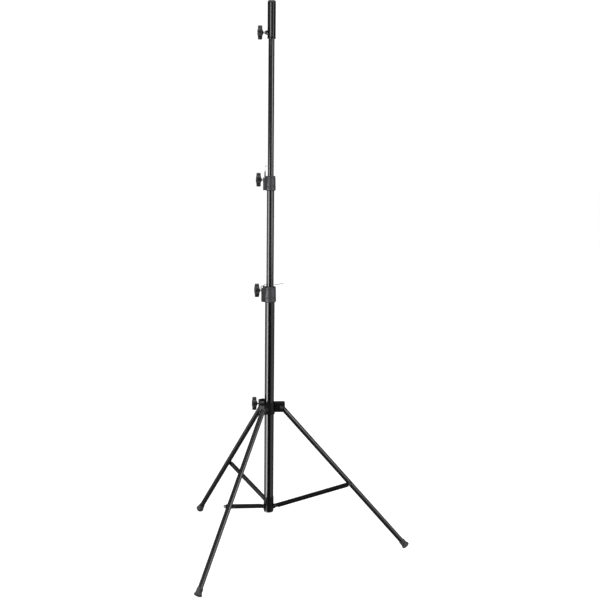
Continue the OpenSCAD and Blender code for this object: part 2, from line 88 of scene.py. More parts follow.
def plug(tree, socket, value):
    if isinstance(value, Sock):
        tree.links.new(value.link, socket)
    elif hasattr(socket, "default_value"):
        socket.default_value = value


class Shader:
    # one material with its Principled node and a method that adds any other node
    def __init__(self, name):
        self.material = bpy.data.materials.new(name)
        self.material.use_nodes = True
        self.tree = self.material.node_tree
        self.surface = self.tree.nodes["Principled BSDF"]
        coords = self.tree.nodes.new("ShaderNodeTexCoord")
        self.place = Sock(self.tree, coords.outputs["Object"])

    def node(self, kind, settings=None, output=0, **inputs):
        made = self.tree.nodes.new(kind)
        for key, value in (settings or {}).items():
            if key == "stops":
                setStops(made.color_ramp, value)
            else:
                setattr(made, key, value)
        for key, value in inputs.items():
            plug(self.tree, made.inputs[key.replace("_", " ")], value)
        return Sock(self.tree, made.outputs[output])

    def stretched(self, scale):
        return self.node("ShaderNodeMapping", Vector=self.place, Scale=scale)

    def noise(self, scale, detail=3.0, roughness=0.5, where=None):
        return self.node("ShaderNodeTexNoise", Vector=where or self.place, Scale=scale,
                         Detail=detail, Roughness=roughness)

    def ramp(self, value, stops):
        return self.node("ShaderNodeValToRGB", {"stops": stops}, Fac=value)

    def mixColors(self, fac, first, second):
        made = self.tree.nodes.new("ShaderNodeMix")
        made.data_type = "RGBA"
        plug(self.tree, made.inputs[0], fac)
        plug(self.tree, made.inputs[6], first)
        plug(self.tree, made.inputs[7], second)
        return Sock(self.tree, made.outputs[2])

    def bump(self, height, strength, distance):
        return self.node("ShaderNodeBump", Height=height, Strength=strength, Distance=distance)

    def set(self, **inputs):
        for key, value in inputs.items():
            plug(self.tree, self.surface.inputs[key.replace("_", " ")], value)
        return self


def setStops(ramp, stops):
    while len(ramp.elements) < len(stops):
        ramp.elements.new(0.5)
    for element, (position, grey) in zip(ramp.elements, stops):
        element.position = position
        element.color = (grey, grey, grey, 1.0) if isinstance(grey, (int, float)) else (*grey, 1.0)


# materials

def powderCoat(name, grey, gloss, wear, index=1.5):
    # powder coat: orange peel, faint dust, and rubbed streaks that run along the tube
    shader = Shader(name)
    peel = shader.noise(900.0, 2.0)
    dust = shader.noise(14.0, 5.0, 0.6)
    rubbed = shader.noise(60.0, 4.0, 0.6, shader.stretched((9.0, 9.0, 0.35)))
    streak = shader.ramp(rubbed, [(0.56, 0.0), (0.74, 1.0)])
    dark = (grey, grey, grey * 1.05, 1.0)
    dusty = (grey * 1.7, grey * 1.7, grey * 1.75, 1.0)
    base = shader.mixColors(dust * 0.4, dark, dusty)
    shader.set(Base_Color=shader.mixColors(streak * wear, base, (0.11, 0.11, 0.115, 1.0)),
               Roughness=dust * 0.08 + streak * 0.06 + gloss, IOR=index,
               Normal=shader.bump(peel, 0.06, 0.0001))
    return shader.material


def mouldedPlastic(name, color, rough, grain):
    # moulded nylon: fine spark-eroded grain, slight mottling and scuffed patches
    shader = Shader(name)
    fine = shader.noise(grain, 2.0, 0.6)
    mottled = shader.noise(30.0, 4.0, 0.55)
    scuffs = shader.ramp(shader.noise(120.0, 5.0, 0.7), [(0.58, 0.0), (0.7, 1.0)])
    dark = (*color, 1.0)
    pale = (*[c * 1.5 + 0.004 for c in color], 1.0)
    base = shader.mixColors(mottled * 0.6, dark, pale)
    shader.set(Base_Color=shader.mixColors(scuffs * 0.12, base, (0.16, 0.16, 0.17, 1.0)),
               Roughness=rough + mottled * 0.1, IOR=1.49,
               Normal=shader.bump(fine, 0.35, 0.0003))
    return shader.material


def rubberSkin(name):
    # moulded rubber with dust caught in its surface
    shader = Shader(name)
    dust = shader.ramp(shader.noise(70.0, 6.0, 0.7), [(0.45, 0.0), (0.75, 1.0)])
    shader.set(Base_Color=shader.mixColors(dust * 0.5, (0.012, 0.012, 0.012, 1.0),
                                           (0.06, 0.058, 0.055, 1.0)),
               Roughness=dust * 0.15 + 0.55, IOR=1.52,
               Normal=shader.bump(shader.noise(700.0, 3.0), 0.3, 0.0003))
    return shader.material


def platedMetal(name, color, rough, brushing):
    # plated or turned metal: fine lines round the turning, cloudy plating
    shader = Shader(name)
    cloud = shader.noise(180.0, 3.0, 0.5)
    lines = shader.noise(brushing, 3.0, 0.7, shader.stretched((4.0, 0.4, 0.4)))
    dull = (*[c * 0.72 for c in color], 1.0)
    shader.set(Base_Color=shader.mixColors(cloud, (*color, 1.0), dull), Metallic=1.0,
               Roughness=rough + cloud * 0.12 + lines * 0.1,
               Normal=shader.bump(lines, 0.15, 0.0001))
    return shader.material


finishes = {
    "column_paint": powderCoat("columnPaint", 0.001, 0.12, 0.05),
    "leg_paint": powderCoat("legPaint", 0.006, 0.18, 0.12),
    "hub_paint": powderCoat("hubPaint", 0.002, 0.34, 0.06, 1.25),
    "black_steel": powderCoat("blackenedSteel", 0.012, 0.26, 0.2),
    "collar_plastic": mouldedPlastic("collarNylon", (0.013, 0.013, 0.016), 0.42, 1800.0),
    "knob_plastic": mouldedPlastic("knobNylon", (0.005, 0.005, 0.006), 0.34, 1600.0),
    "trim_plastic": mouldedPlastic("trimPlastic", (0.004, 0.004, 0.004), 0.4, 1500.0),
    "bush_plastic": mouldedPlastic("bushAcetal", (0.02, 0.02, 0.02), 0.3, 1200.0),
    "rubber": rubberSkin("footRubber"),
    "zinc": platedMetal("zincPlate", (0.78, 0.79, 0.8), 0.2, 900.0),
    "brass": platedMetal("turnedBrass", (0.72, 0.55, 0.26), 0.25, 700.0),
}
slotOf = {part["node"]: part["material_slot"] for part in frame["record"]["subparts"]}
for name, obj in frame["nodes"].items():
    obj.data.materials.clear()
    obj.data.materials.append(finishes[slotOf[name]])
print("materials set on the frame")

# floor, lights and camera

studio = {
    "overheadSize": 5.0, "overheadPower": 260.0, "overheadHeight": 6.0,
    "floorSize": 160.0, "backdrop": 7.5, "sweep": 2.5, "wallHeight": 9.0, "floorGrey": 0.25,
    "floorGlow": 0.9, "airGlow": 0.05, "horizonGlow": 0.93, "boxDistance": 3.4,
    "turn": 3.8, "distance": 5.872, "height": 2.215, "side": 0.1327,
    "tilt": 10.21, "roll": 0.595, "lens": 81.2,
}


def onStage(x, y, z):
    # a place given across and away from the camera, turned into the object's frame
    return Matrix.Rotation(math.radians(-studio["turn"]), 3, "Z") @ Vector((x, y, z))


def makeBackdrop():
    half = studio["floorSize"] / 2
    radius = studio["sweep"]
    bm = bmesh.new()
    line = [(-half, 0.0), (studio["backdrop"], 0.0)]
    for i in range(1, 17):
        angle = math.pi / 2 * i / 16
        line.append((studio["backdrop"] + radius * math.sin(angle), radius * (1 - math.cos(angle))))
    line.append((studio["backdrop"] + radius, studio["wallHeight"]))
    verts = [bm.verts.new(onStage(-half, y, z)) for y, z in line]
    edges = [bm.edges.new(pair) for pair in zip(verts, verts[1:])]
    run = bmesh.ops.extrude_edge_only(bm, edges=edges)["geom"]
    moved = [g for g in run if isinstance(g, bmesh.types.BMVert)]
    bmesh.ops.translate(bm, verts=moved, vec=onStage(2 * half, 0, 0))
    bmesh.ops.recalc_face_normals(bm, faces=bm.faces)
    mesh = bpy.data.meshes.new("backdrop")
    bm.to_mesh(mesh)
    bm.free()
    obj = bpy.data.objects.new("backdrop", mesh)
    bpy.context.scene.collection.objects.link(obj)
    for face in mesh.polygons:
        face.use_smooth = True
    shader = Shader("studioPaper")
    grey = studio["floorGrey"]
    fibre = shader.noise(300.0, 2.0)
    shader.set(Base_Color=(grey, grey, grey, 1.0), Roughness=0.9, Emission_Color=(1.0, 1.0, 1.0, 1.0),
               Emission_Strength=studio["floorGlow"], Normal=shader.bump(fibre, 0.05, 0.0005))
    mesh.materials.append(shader.material)
    obj.visible_glossy = False


def softbox(name, azimuth, heights, width, glow):
    # a tall light at an azimuth from the camera's side, between two heights; glow is its brightness
    light = bpy.data.lights.new(name, "AREA")
    light.shape = "RECTANGLE"
    low, high = heights
    light.size, light.size_y = width, high - low
    light.energy = glow * math.pi * width * (high - low)
    obj = bpy.data.objects.new(name, light)
    bpy.context.scene.collection.objects.link(obj)
    turn = math.radians(azimuth)
    reach = studio["boxDistance"]
    obj.location = onStage(reach * math.sin(turn), -reach * math.cos(turn), (low + high) / 2)
    level = Vector((-obj.location.x, -obj.location.y, 0))
    obj.rotation_euler = level.to_track_quat("-Z", "Y").to_euler()
    obj.visible_camera = False


def overhead():
    light = bpy.data.lights.new("overhead", "AREA")
    light.size = studio["overheadSize"]
    light.energy = studio["overheadPower"]
    obj = bpy.data.objects.new("overhead", light)
    bpy.context.scene.collection.objects.link(obj)
    obj.location = (0, 0, studio["overheadHeight"])
    obj.visible_camera = False


def makeAir():
    # plain air: white where the camera looks past the floor, dimmer as a light
    world = bpy.data.worlds.new("studioAir")
    bpy.context.scene.world = world
    world.use_nodes = True
    tree = world.node_tree
    rays = tree.nodes.new("ShaderNodeLightPath")
    seen = Sock(tree, rays.outputs["Is Camera Ray"])
    glow = seen * (studio["horizonGlow"] - studio["airGlow"]) + studio["airGlow"]
    plug(tree, tree.nodes["Background"].inputs["Strength"], glow)
    tree.nodes["Background"].inputs["Color"].default_value = (1.0, 1.0, 1.0, 1.0)


def makeCamera():
    camera = bpy.data.cameras.new("camera")
    camera.lens = studio["lens"]
    camera.sensor_width = 36.0
    camera.clip_end = 60.0
    obj = bpy.data.objects.new("camera", camera)
    bpy.context.scene.collection.objects.link(obj)
    tilt, roll = math.radians(studio["tilt"]), math.radians(studio["roll"])
    ahead = onStage(0, math.cos(tilt), -math.sin(tilt))
    right = onStage(1, 0, 0)
    up = right.cross(ahead)
    tilted = right * math.cos(roll) + up * math.sin(roll)
    upright = up * math.cos(roll) - right * math.sin(roll)
    turned = Matrix((tilted, upright, -ahead)).transposed().to_4x4()
    place = onStage(studio["side"], -studio["distance"], studio["height"])
    obj.matrix_world = Matrix.Translation(place) @ turned
    bpy.context.scene.camera = obj


makeBackdrop()
softbox("leftLow", -54, (-1.6, 1.5), 1.9, 11.0)
softbox("leftEdge", -92, (-1.6, 1.5), 2.2, 2.0)
softbox("rightLow", 72, (-1.6, 0.75), 5.0, 0.9)
softbox("rightMiddle", 58, (0.75, 1.45), 4.9, 3.2)
softbox("leftHigh", -70, (1.5, 3.2), 2.2, 0.5)
softbox("frontHigh", 0, (1.5, 3.2), 2.4, 0.8)
softbox("rightHigh", 53, (1.5, 2.34), 1.8, 8.0)
softbox("topStrip", -28, (2.36, 3.2), 0.8, 11.0)
softbox("topRight", 57, (2.36, 3.2), 1.4, 2.6)
overhead()
makeAir()
makeCamera()
bpy.context.scene.view_settings.view_transform = "Standard"
print("studio ready")

# where things are, read from the frame

joints = {joint["name"]: joint for joint in frame["joints"]}
upward = Vector((0, 0, 1))


def placed(zAxis, xAxis, origin):
    # a frame from its Z and X directions and its origin
    zAxis, xAxis = Vector(zAxis).normalized(), Vector(xAxis).normalized()
    return Matrix.Translation(origin) @ Matrix((xAxis, zAxis.cross(xAxis), zAxis)).transposed().to_4x4()


def along(node, direction):
    # how far a node reaches, near and far, along a direction from the origin
    places = [v.co.dot(direction) for v in frame["nodes"][node].data.vertices]
    return min(places), max(places)


def tubeRadius(node):
    low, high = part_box(node)
    return (high.y - low.y) / 2


def knobAxis(name):
    # outward direction and height of a knob, whose joint turns about a level axis
    joint = joints[name + "_turn"]
    axis = Vector(joint["axis"])
    return axis * (-1 if axis.x > 0 else 1), joint["pos_m"][2]


def knobPlace(name):
    outward, height = knobAxis(name)
    return placed(outward, upward, (0, 0, height))


legAzimuths = {"c": 0, "a": 120, "b": 240}
legPivot = Vector(joints["leg_c_fold"]["pos_m"])
bracePivot = Vector(joints["brace_c_fold"]["pos_m"])
rivetLow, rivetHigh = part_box("leg_rivet_c")
legRivet = Vector(((rivetLow.x + rivetHigh.x) / 2, 0, (rivetLow.z + rivetHigh.z) / 2))
legAlong = (legRivet - legPivot).normalized()
braceAlong = (legRivet - bracePivot).normalized()
sideways = Vector((0, 1, 0))
legPlace = placed(legAlong, sideways.cross(legAlong), legPivot)
bracePlace = placed(braceAlong, sideways.cross(braceAlong), bracePivot)


# mesh helpers

def piece(name, bm, body, slot, *nodes, crease=38):
    # turns a bmesh into a finished piece that rides on a body
    bmesh.ops.remove_doubles(bm, verts=bm.verts, dist=2e-6)
    bmesh.ops.recalc_face_normals(bm, faces=bm.faces)
    mesh = bpy.data.meshes.new(name)
    bm.to_mesh(mesh)
    bm.free()
    mesh.shade_smooth()
    mesh.set_sharp_from_angle(angle=math.radians(crease))
    obj = bpy.data.objects.new(name, mesh)
    bpy.context.scene.collection.objects.link(obj)
    mesh.materials.append(finishes[slot])
    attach(obj, body)
    if nodes:
        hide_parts(*nodes)
    return obj


def roundOff(bm, edges, radius, segments=3):
    bmesh.ops.bevel(bm, geom=list(edges), offset=radius, offset_type="OFFSET", segments=segments,
                    profile=0.5, affect="EDGES", clamp_overlap=True, material=-1)


def softened(outline, radius, closed=False):
    # an outline with each of its corners turned into a short curve
    points = [Vector(p) for p in outline]
    soft = []
    for i, corner in enumerate(points):
        if not closed and i in (0, len(points) - 1):
            soft.append(corner)
            continue
        before, after = points[i - 1], points[(i + 1) % len(points)]
        back = (before - corner).normalized() * min(radius, (before - corner).length * 0.45)
        ahead = (after - corner).normalized() * min(radius, (after - corner).length * 0.45)
        for t in (0, 0.25, 0.5, 0.75, 1):
            soft.append(corner + back * (1 - t) ** 2 + ahead * t ** 2)
    return soft


def addTurned(bm, outline, place=Matrix(), rounding=0.4, closed=False, steps=64):
    # turns an outline of (radius, height) in millimetres about the place's Z axis
    points = softened([(r * mm, h * mm) for r, h in outline], rounding * mm, closed)
    verts = [bm.verts.new(place @ Vector((p.x, 0, p.y))) for p in points]
    pairs = list(zip(verts, verts[1:])) + ([(verts[-1], verts[0])] if closed else [])
    edges = [bm.edges.new(pair) for pair in pairs]
    bmesh.ops.spin(bm, geom=verts + edges, cent=place.translation, axis=place.to_3x3() @ upward,
                   dvec=(0, 0, 0), angle=2 * math.pi, steps=steps, use_merge=True)


def addBlock(bm, low, high, rounding, place=Matrix()):
    # a box between two corners in millimetres, with rounded edges
    low, high = Vector(low) * mm, Vector(high) * mm
    verts = bmesh.ops.create_cube(bm, size=1.0)["verts"]
    bmesh.ops.scale(bm, vec=high - low, verts=verts)
    bmesh.ops.translate(bm, vec=(low + high) / 2, verts=verts)
    bmesh.ops.transform(bm, matrix=place, verts=verts)
    roundOff(bm, {e for v in verts for e in v.link_edges}, rounding * mm)


def addThread(bm, place, root, crest, start, end, pitch):
    # a helical ridge between two heights, in millimetres
    profile = [(root, -pitch * 0.42), (crest, 0), (root, pitch * 0.42)]
    verts = [bm.verts.new(place @ Vector((r * mm, 0, (start + h) * mm))) for r, h in profile]
    face = bm.faces.new(verts)
    stepsPerTurn = 24
    turns = max(1, int((end - start) / pitch))
    axis = place.to_3x3() @ upward
    bmesh.ops.spin(bm, geom=list(face.edges) + verts, cent=place.translation, axis=axis,
                   dvec=axis * (pitch * mm / stepsPerTurn), angle=2 * math.pi * turns,
                   steps=stepsPerTurn * turns, use_merge=False)
    bmesh.ops.holes_fill(bm, edges=[e for e in bm.edges if e.is_boundary], sides=3)


# clamping knobs

knobLook = {"cone": 4.5, "lobes": 6, "lobeShare": 0.3, "blend": 14, "segments": 144, "edge": 2.6,
            "thread": 1.25, "threadDepth": 0.6, "threadLength": 14}


def lobeEdge(angle, reach):
    # distance from a knob's axis to its edge at an angle, with the valleys blended
    lobe = reach * knobLook["lobeShare"]
    centre = reach - lobe
    step = 2 * math.pi / knobLook["lobes"]
    off = abs((angle + step / 2) % step - step / 2)
    side = centre * math.sin(off)
    edge = centre * math.cos(off) + math.sqrt(lobe ** 2 - side ** 2) if side < lobe else 0.0
    blend = knobLook["blend"]
    return (edge ** blend + centre ** blend) ** (1 / blend)


def addKnobHead(bm, place, reach, cone, depth, capRadius):
    # rings from the cone behind the knob, over its lobes, to the seat of its cap
    edge = knobLook["edge"]
    rings = [(0, 6.0, 0), (0.6, 6.9, 0), (cone - 1, 11.5, 0), (cone - 0.2, 13.5, 0),
             (cone + 0.1, -edge * 1.6, 1), (cone + 0.5, -edge * 0.8, 1), (cone + 1.4, -edge * 0.25, 1),
             (cone + edge, 0, 1), (depth - edge, 0, 1), (depth - 1.4, -edge * 0.25, 1),
             (depth - 0.5, -edge * 0.8, 1), (depth - 0.1, -edge * 1.6, 1),
             (depth, capRadius + 2.2, 0), (depth, capRadius + 0.5, 0), (depth - 0.4, capRadius, 0),
             (depth - 2, capRadius, 0)]
    ring = bmesh.ops.create_circle(bm, cap_ends=False, segments=knobLook["segments"], radius=1.0)
    verts = ring["verts"]
    edges = list({e for v in verts for e in v.link_edges})
    firstEdges = edges
    for i, (height, size, lobed) in enumerate(rings):
        if i:
            made = bmesh.ops.extrude_edge_only(bm, edges=edges)["geom"]
            verts = [g for g in made if isinstance(g, bmesh.types.BMVert)]
            edges = [g for g in made if isinstance(g, bmesh.types.BMEdge)
                     and g.verts[0] in verts and g.verts[1] in verts]
        for vert in verts:
            angle = math.atan2(vert.co.y, vert.co.x)
            far = lobeEdge(angle, reach) + size if lobed else size
            vert.co = Vector((math.cos(angle) * far, math.sin(angle) * far, height))
    bmesh.ops.contextual_create(bm, geom=firstEdges)
    bmesh.ops.contextual_create(bm, geom=edges)
    bmesh.ops.scale(bm, vec=(mm, mm, mm), verts=bm.verts)
    bmesh.ops.transform(bm, matrix=place, verts=bm.verts)


def makeKnob(name):
    outward = knobAxis(name)[0]
    place = knobPlace(name)
    start, end = (d / mm for d in along(name + "_head", outward))
    tip, stop = (d / mm for d in along(name + "_stud", outward))
    capEnd = along(name + "_cap", outward)[1] / mm
    low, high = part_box(name + "_head")
    reach = (high.z - low.z) / 2 / mm
    capRadius = (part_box(name + "_cap")[1].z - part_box(name + "_cap")[0].z) / 2 / mm
    shifted = place @ Matrix.Translation((0, 0, start * mm))
    bm = bmesh.new()
    addKnobHead(bm, shifted, reach, knobLook["cone"], end - start, capRadius)
    piece(name + "Head", bm, name, "knob_plastic", name + "_head")
    bm = bmesh.new()
    depth = end - start
    addTurned(bm, [(0, depth - 2), (capRadius - 0.2, depth - 2), (capRadius - 0.2, depth + 0.2),
                   (capRadius - 1.6, depth + 0.9), (capRadius - 2.6, depth + 0.5),
                   (capRadius - 4, capEnd - start), (0, capEnd - start)], shifted)
    piece(name + "Cap", bm, name, "knob_plastic", name + "_cap")
    bm = bmesh.new()
    crest = (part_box(name + "_stud")[1].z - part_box(name + "_stud")[0].z) / 2 / mm
    root = crest - knobLook["threadDepth"]
    addTurned(bm, [(0, tip), (root - 1, tip), (root, tip + 1), (root, stop), (0, stop)], place)
    threadStart = start - knobLook["threadLength"]
    addThread(bm, place, root - 0.05, crest, threadStart, start + 1, knobLook["thread"])
    piece(name + "Stud", bm, name, "zinc", name + "_stud", crease=25)


for knob in ("hub_knob", "lower_knob", "upper_knob", "adapter_knob"):
    makeKnob(knob)
print("knobs made")

# telescoping collars

collarLook = {"flare": 1.0, "bandHeight": 20, "groove": 1.1, "blockShy": 0.35, "blockRound": 1.6,
              "ribs": 3, "ribGap": 6, "halfWidth": 12.5, "screwRadius": 3.2, "screwRise": 12}


def makeCollar(name, body, tube, knob):
    outward, knobHeight = knobAxis(knob)
    low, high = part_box(name)
    h = (high.z - low.z) / mm
    outer, inner = high.y / mm, tubeRadius(tube) / mm + 0.1
    reach = along(name, outward)[1] / mm
    band, groove, flare = collarLook["bandHeight"], collarLook["groove"], collarLook["flare"]
    bm = bmesh.new()
    shell = [(inner, 0.8), (inner + 0.8, 0), (outer - 3, 0), (outer, 4), (outer, band),
             (outer - groove, band + 0.8), (outer - groove, band + 2.2), (outer - 0.2, band + 3),
             (outer - flare, h - 9), (outer - flare - groove, h - 8.2), (outer - flare - groove, h - 7),
             (outer - flare, h - 6), (outer - flare, h - 2), (outer - flare - 2, h),
             (inner - 3.4, h), (inner - 4.2, h - 1), (inner - 4.2, h - 3), (inner, h - 3)]
    addTurned(bm, shell, Matrix.Translation((0, 0, low.z)), 0.7, closed=True, steps=96)
    # local X runs up, Y across and Z outward to the block's face
    place = placed(outward, upward, (0, 0, low.z))
    width, front = collarLook["halfWidth"], reach - collarLook["blockShy"]
    addBlock(bm, (2, -width, inner + 1), (h - 1.2, width, front - 6), 1.2, place)
    addBlock(bm, (2.6, -width + 0.5, front - 16), (h - 8, width - 0.5, front),
             collarLook["blockRound"], place)
    for side in (-1, 1):
        face = side * width
        for i in range(collarLook["ribs"]):
            rise = 8 + i * collarLook["ribGap"]
            addBlock(bm, (rise, face - 0.9, inner + 4), (rise + 1.6, face + 0.9, front - 2.5),
                     0.5, place)
        addBlock(bm, (band + 8, face - 0.8, inner + 7), (h - 14, face + 0.8, front - 3), 0.7, place)
    boss = placed(outward, upward, (0, 0, knobHeight))
    addTurned(bm, [(7.1, front - 3), (10.5, front - 3), (10.5, front + 0.2), (9.6, front + 0.33),
                   (7.1, front + 0.33)], boss, 0.3, closed=True, steps=48)
    piece(name + "Shell", bm, body, "collar_plastic", name)
    # two screws that close the clamp band, across the block
    bm = bmesh.new()
    r = collarLook["screwRadius"]
    for side in (-1, 1):
        seat = Vector((collarLook["screwRise"], side * width, reach - 9)) * mm
        screw = placed(place.to_3x3() @ Vector((0, side, 0)), upward, place @ seat)
        addTurned(bm, [(0, -1), (r, -1), (r, 1.4), (r - 0.8, 2), (1.7, 2), (1.5, 1), (0, 1)],
                  screw, 0.25, steps=36)
    piece(name + "Screws", bm, body, "black_steel")


makeCollar("lower_collar", "column", "base_tube", "lower_knob")
makeCollar("upper_collar", "mid", "mid_tube", "upper_knob")
print("collars made")

# folding hub

hubLook = {"armHeight": 44, "sleeve": 2.5, "nutRadius": 6.6, "nutHeight": 3.6, "sheet": 3.0,
           "bend": 4.0, "frontDrop": 19.0, "washer": 9.5}


def addArm(bm, place, length, width, height, start):
    # an inverted channel of bent sheet, open below and towards the sleeve
    sheet = hubLook["sheet"]
    made = bmesh.new()
    verts = bmesh.ops.create_cube(made, size=1.0)["verts"]
    bmesh.ops.scale(made, vec=((length - start) * mm, width * mm, height * mm), verts=verts)
    bmesh.ops.translate(made, vec=((length + start) / 2 * mm, 0, -height / 2 * mm), verts=verts)
    gone = [f for f in made.faces if f.normal.z < -0.5 or f.normal.x < -0.5]
    bmesh.ops.delete(made, geom=gone, context="FACES")
    cut = [f for f in made.faces if f.normal.x > 0.5]
    cutGeom = cut + [e for f in cut for e in f.edges] + [v for f in cut for v in f.verts]
    bmesh.ops.bisect_plane(made, geom=cutGeom, dist=1e-6,
                           plane_co=(0, 0, -hubLook["frontDrop"] * mm), plane_no=upward)
    low = [f for f in made.faces if f.normal.x > 0.5
           and f.calc_center_median().z < -hubLook["frontDrop"] * mm]
    bmesh.ops.delete(made, geom=low, context="FACES")
    bends = [e for e in made.edges if len(e.link_faces) == 2 and e.calc_face_angle() > 0.5]
    roundOff(made, bends, hubLook["bend"] * mm, 5)
    bmesh.ops.recalc_face_normals(made, faces=made.faces)
    if sum(f.normal.z * f.calc_area() for f in made.faces) < 0:
        bmesh.ops.reverse_faces(made, faces=made.faces)
    bmesh.ops.solidify(made, geom=made.faces[:], thickness=sheet * mm)
    bmesh.ops.transform(made, matrix=place, verts=made.verts)
    mesh = bpy.data.meshes.new("arm")
    made.to_mesh(mesh)
    made.free()
    bm.from_mesh(mesh)
    bpy.data.meshes.remove(mesh)


def makeHub():
    low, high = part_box("hub_body")
    bushLow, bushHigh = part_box("hub_bush")
    inner = (bushHigh.y - bushLow.y) / 2 / mm
    outer = inner + hubLook["sleeve"]
    h = (high.z - low.z) / mm
    armReach = high.x / mm
    legRadius = tubeRadius("leg_eye_c") / mm
    width = 2 * (legRadius + 1 + hubLook["sheet"])
    bm = bmesh.new()
    addTurned(bm, [(inner, 0.6), (inner + 0.6, 0), (outer - 0.6, 0), (outer, 0.8), (outer, h - 0.8),
                   (outer - 0.7, h), (inner + 0.6, h), (inner, h - 0.6)],
              Matrix.Translation((0, 0, low.z)), 0.3, closed=True, steps=96)
    armHeight = hubLook["armHeight"]
    for azimuth in legAzimuths.values():
        turn = Matrix.Rotation(math.radians(azimuth), 4, "Z")
        addArm(bm, turn @ Matrix.Translation((0, 0, high.z)), armReach, width, armHeight, inner + 1.5)
    piece("hubCasting", bm, "hub", "hub_paint", "hub_body")
    bm = bmesh.new()
    face = width / 2
    for azimuth in legAzimuths.values():
        turn = Matrix.Rotation(math.radians(azimuth), 4, "Z")
        for side in (-1, 1):
            bolt = turn @ placed(sideways * side, upward, legPivot)
            addTurned(bm, [(0, face - 3), (hubLook["washer"], face - 0.2), (hubLook["washer"], face + 0.9),
                           (4, face + 1.1), (0, face + 1.1)], bolt, 0.3, steps=48)
            nut = bmesh.ops.create_circle(bm, cap_ends=True, segments=6,
                                          radius=hubLook["nutRadius"] * mm)["verts"]
            capFace = nut[0].link_faces[0]
            bmesh.ops.translate(bm, vec=(0, 0, (face + 0.9) * mm), verts=nut)
            grown = bmesh.ops.extrude_face_region(bm, geom=[capFace])["geom"]
            top = [g for g in grown if isinstance(g, bmesh.types.BMVert)]
            bmesh.ops.translate(bm, vec=(0, 0, hubLook["nutHeight"] * mm), verts=top)
            bmesh.ops.transform(bm, matrix=bolt, verts=nut + top)
            roundOff(bm, {e for v in top for e in v.link_edges if e.other_vert(v) in top}, 0.6 * mm, 2)
            tip = [(0, face + 4), (4, face + 4), (4, face + (5 if side > 0 else 5.4)), (3.2, face + 5.9),
                   (0, face + 5.9)]
            addTurned(bm, tip, bolt, 0.3, steps=32)
        addTurned(bm, [(0, -face), (4, -face), (4, face), (0, face)],
                  turn @ placed(sideways, upward, legPivot), 0.2, steps=32)
    piece("hubBolts", bm, "hub", "black_steel", "hub_bolts")
    outward = knobAxis("hub_knob")[0]
    near, far = (d / mm for d in along("hub_boss", outward))
    r = (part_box("hub_boss")[1].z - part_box("hub_boss")[0].z) / 2 / mm
    bm = bmesh.new()
    addTurned(bm, [(0, near), (r, near), (r, far - 7), (r - 1.2, far - 6), (r - 1.2, far - 4.5),
                   (r, far - 3.5), (r, far - 1.4), (r - 1.4, far), (5, far), (4.2, far - 1),
                   (0, far - 1)],
              knobPlace("hub_knob"), 0.5)
    piece("hubBoss", bm, "hub", "black_steel", "hub_boss")


makeHub()
print("hub made")

# legs, feet and braces

footLook = {"ribs": 3, "ribDepth": 1.1}
braceLook = {"sheet": 1.8, "bend": 2.4, "flangeStart": 10, "capNut": 12.0}


def footOutline(start, end, tube, lip, wide):
    # from the ring round the leg, over ribs, to a bell that flares to its worn edge
    outline = [(0, start), (tube + 1.4, start), (lip, start + 1.2), (lip + 0.3, start + 5)]
    depth = footLook["ribDepth"]
    for i in range(footLook["ribs"]):
        rise = start + 7 + i * 4
        outline += [(lip + 0.3, rise), (lip + 0.3 - depth, rise + 0.7), (lip + 0.3 - depth, rise + 1.6),
                    (lip + 0.3, rise + 2.3)]
    return outline + [(wide - 2.4, end - 12), (wide, end - 9), (wide, end - 3), (wide - 1.2, end - 2),
                      (wide - 7, end - 0.6), (0, end)]


def makeLeg(letter, azimuth):
    turn = Matrix.Rotation(math.radians(azimuth), 4, "Z")
    body = "leg_" + letter
    start, end = (d / mm for d in along("foot_c", legAlong))
    zero = legPivot.dot(legAlong) / mm
    tube = tubeRadius("leg_tube_c") / mm
    wide = tubeRadius("foot_c") / mm
    bm = bmesh.new()
    addTurned(bm, footOutline(start - zero, end - zero, tube, tube + 2.7, wide), turn @ legPlace, 0.5)
    bmesh.ops.remove_doubles(bm, verts=bm.verts, dist=2e-6)
    bmesh.ops.bisect_plane(bm, geom=bm.verts[:] + bm.edges[:] + bm.faces[:], dist=1e-6,
                           plane_co=(0, 0, 0), plane_no=upward, clear_inner=True)
    bmesh.ops.holes_fill(bm, edges=[e for e in bm.edges if e.is_boundary], sides=0)
    piece("footBoot_" + letter, bm, body, "rubber", "foot_" + letter)
    headReach = rivetHigh.y / mm
    bm = bmesh.new()
    hinge = turn @ placed(sideways, upward, legRivet)
    addTurned(bm, [(0, -tube + 1), (3, -tube + 1), (3, tube - 1), (6.2, tube - 2.5), (6.2, headReach - 1.4),
                   (4.6, headReach - 0.4), (2.2, headReach), (0, headReach)], hinge, 0.6, steps=40)
    piece("legRivet_" + letter, bm, body, "black_steel", "leg_rivet_" + letter)


def channelOutline(length, half, flange):
    # the web's outline: round ends joined by straight sides that are split where the flanges begin
    ends = [(half, length, 0), (half, 0, 180)]
    points = []
    for half, height, first in ends:
        for angle in range(0, 181, 15):
            a = math.radians(first + angle)
            points.append((half * math.cos(a), height + half * math.sin(a)))
        side = -1 if first == 0 else 1
        rise = (length - flange, flange) if first == 0 else (flange, length - flange)
        points += [(side * half, r) for r in rise]
    return points


